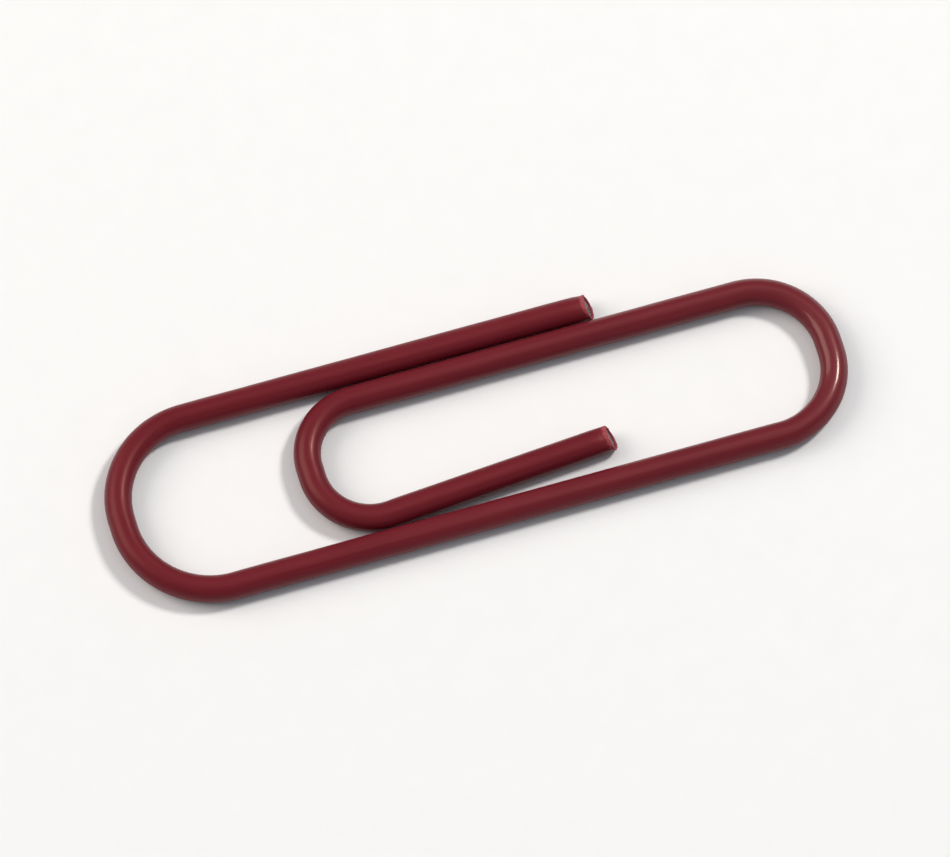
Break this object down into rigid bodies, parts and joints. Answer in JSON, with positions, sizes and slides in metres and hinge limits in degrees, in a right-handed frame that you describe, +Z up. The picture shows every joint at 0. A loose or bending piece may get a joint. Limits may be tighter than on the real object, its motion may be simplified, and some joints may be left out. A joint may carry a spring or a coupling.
{
  "type": "paper clip",
  "caption": "Looped wire paper clip in dark red vinyl-coated steel; its tongue springs open at the bends to grip sheets.",
  "frame": {"origin": "on the table under the middle of the clip's length and width", "axes": "+X along the clip towards the heel bend, +Y across it towards the outer leg, +Z up off the table"},
  "size_m": [0.028, 0.008, 0.001],
  "materials": {
    "vinyl": "dark red extruded vinyl with a soft sheen",
    "steel": "drawn low-carbon wire, sheared bare at the ends"
  },
  "bodies": {
    "outer_leg": {"outer_leg_core": "steel", "outer_leg_coat": "vinyl"},
    "main_leg": {"main_leg_core": "steel", "main_leg_coat": "vinyl"},
    "tongue_leg": {"tongue_leg_core": "steel", "tongue_leg_coat": "vinyl"},
    "inner_leg": {"inner_leg_core": "steel", "inner_leg_coat": "vinyl"}
  },
  "joints": [
    {"name": "big_bend_twist", "type": "hinge", "parent": "main_leg", "child": "outer_leg", "pos_m": [-0.01349, 0, 0.00052], "axis": [0, -1, 0], "range_deg": [0, 9], "stiffness_Nm_per_rad": 0.215},
    {"name": "heel_bend_twist", "type": "hinge", "parent": "main_leg", "child": "tongue_leg", "pos_m": [0.01349, -0.00055, 0.00052], "axis": [0, 1, 0], "range_deg": [0, 10], "stiffness_Nm_per_rad": 0.274},
    {"name": "inner_bend_twist", "type": "hinge", "parent": "tongue_leg", "child": "inner_leg", "pos_m": [-0.00628, 0, 0.00052], "axis": [0, -1, 0], "range_deg": [0, 6], "stiffness_Nm_per_rad": 0.334}
  ]
}
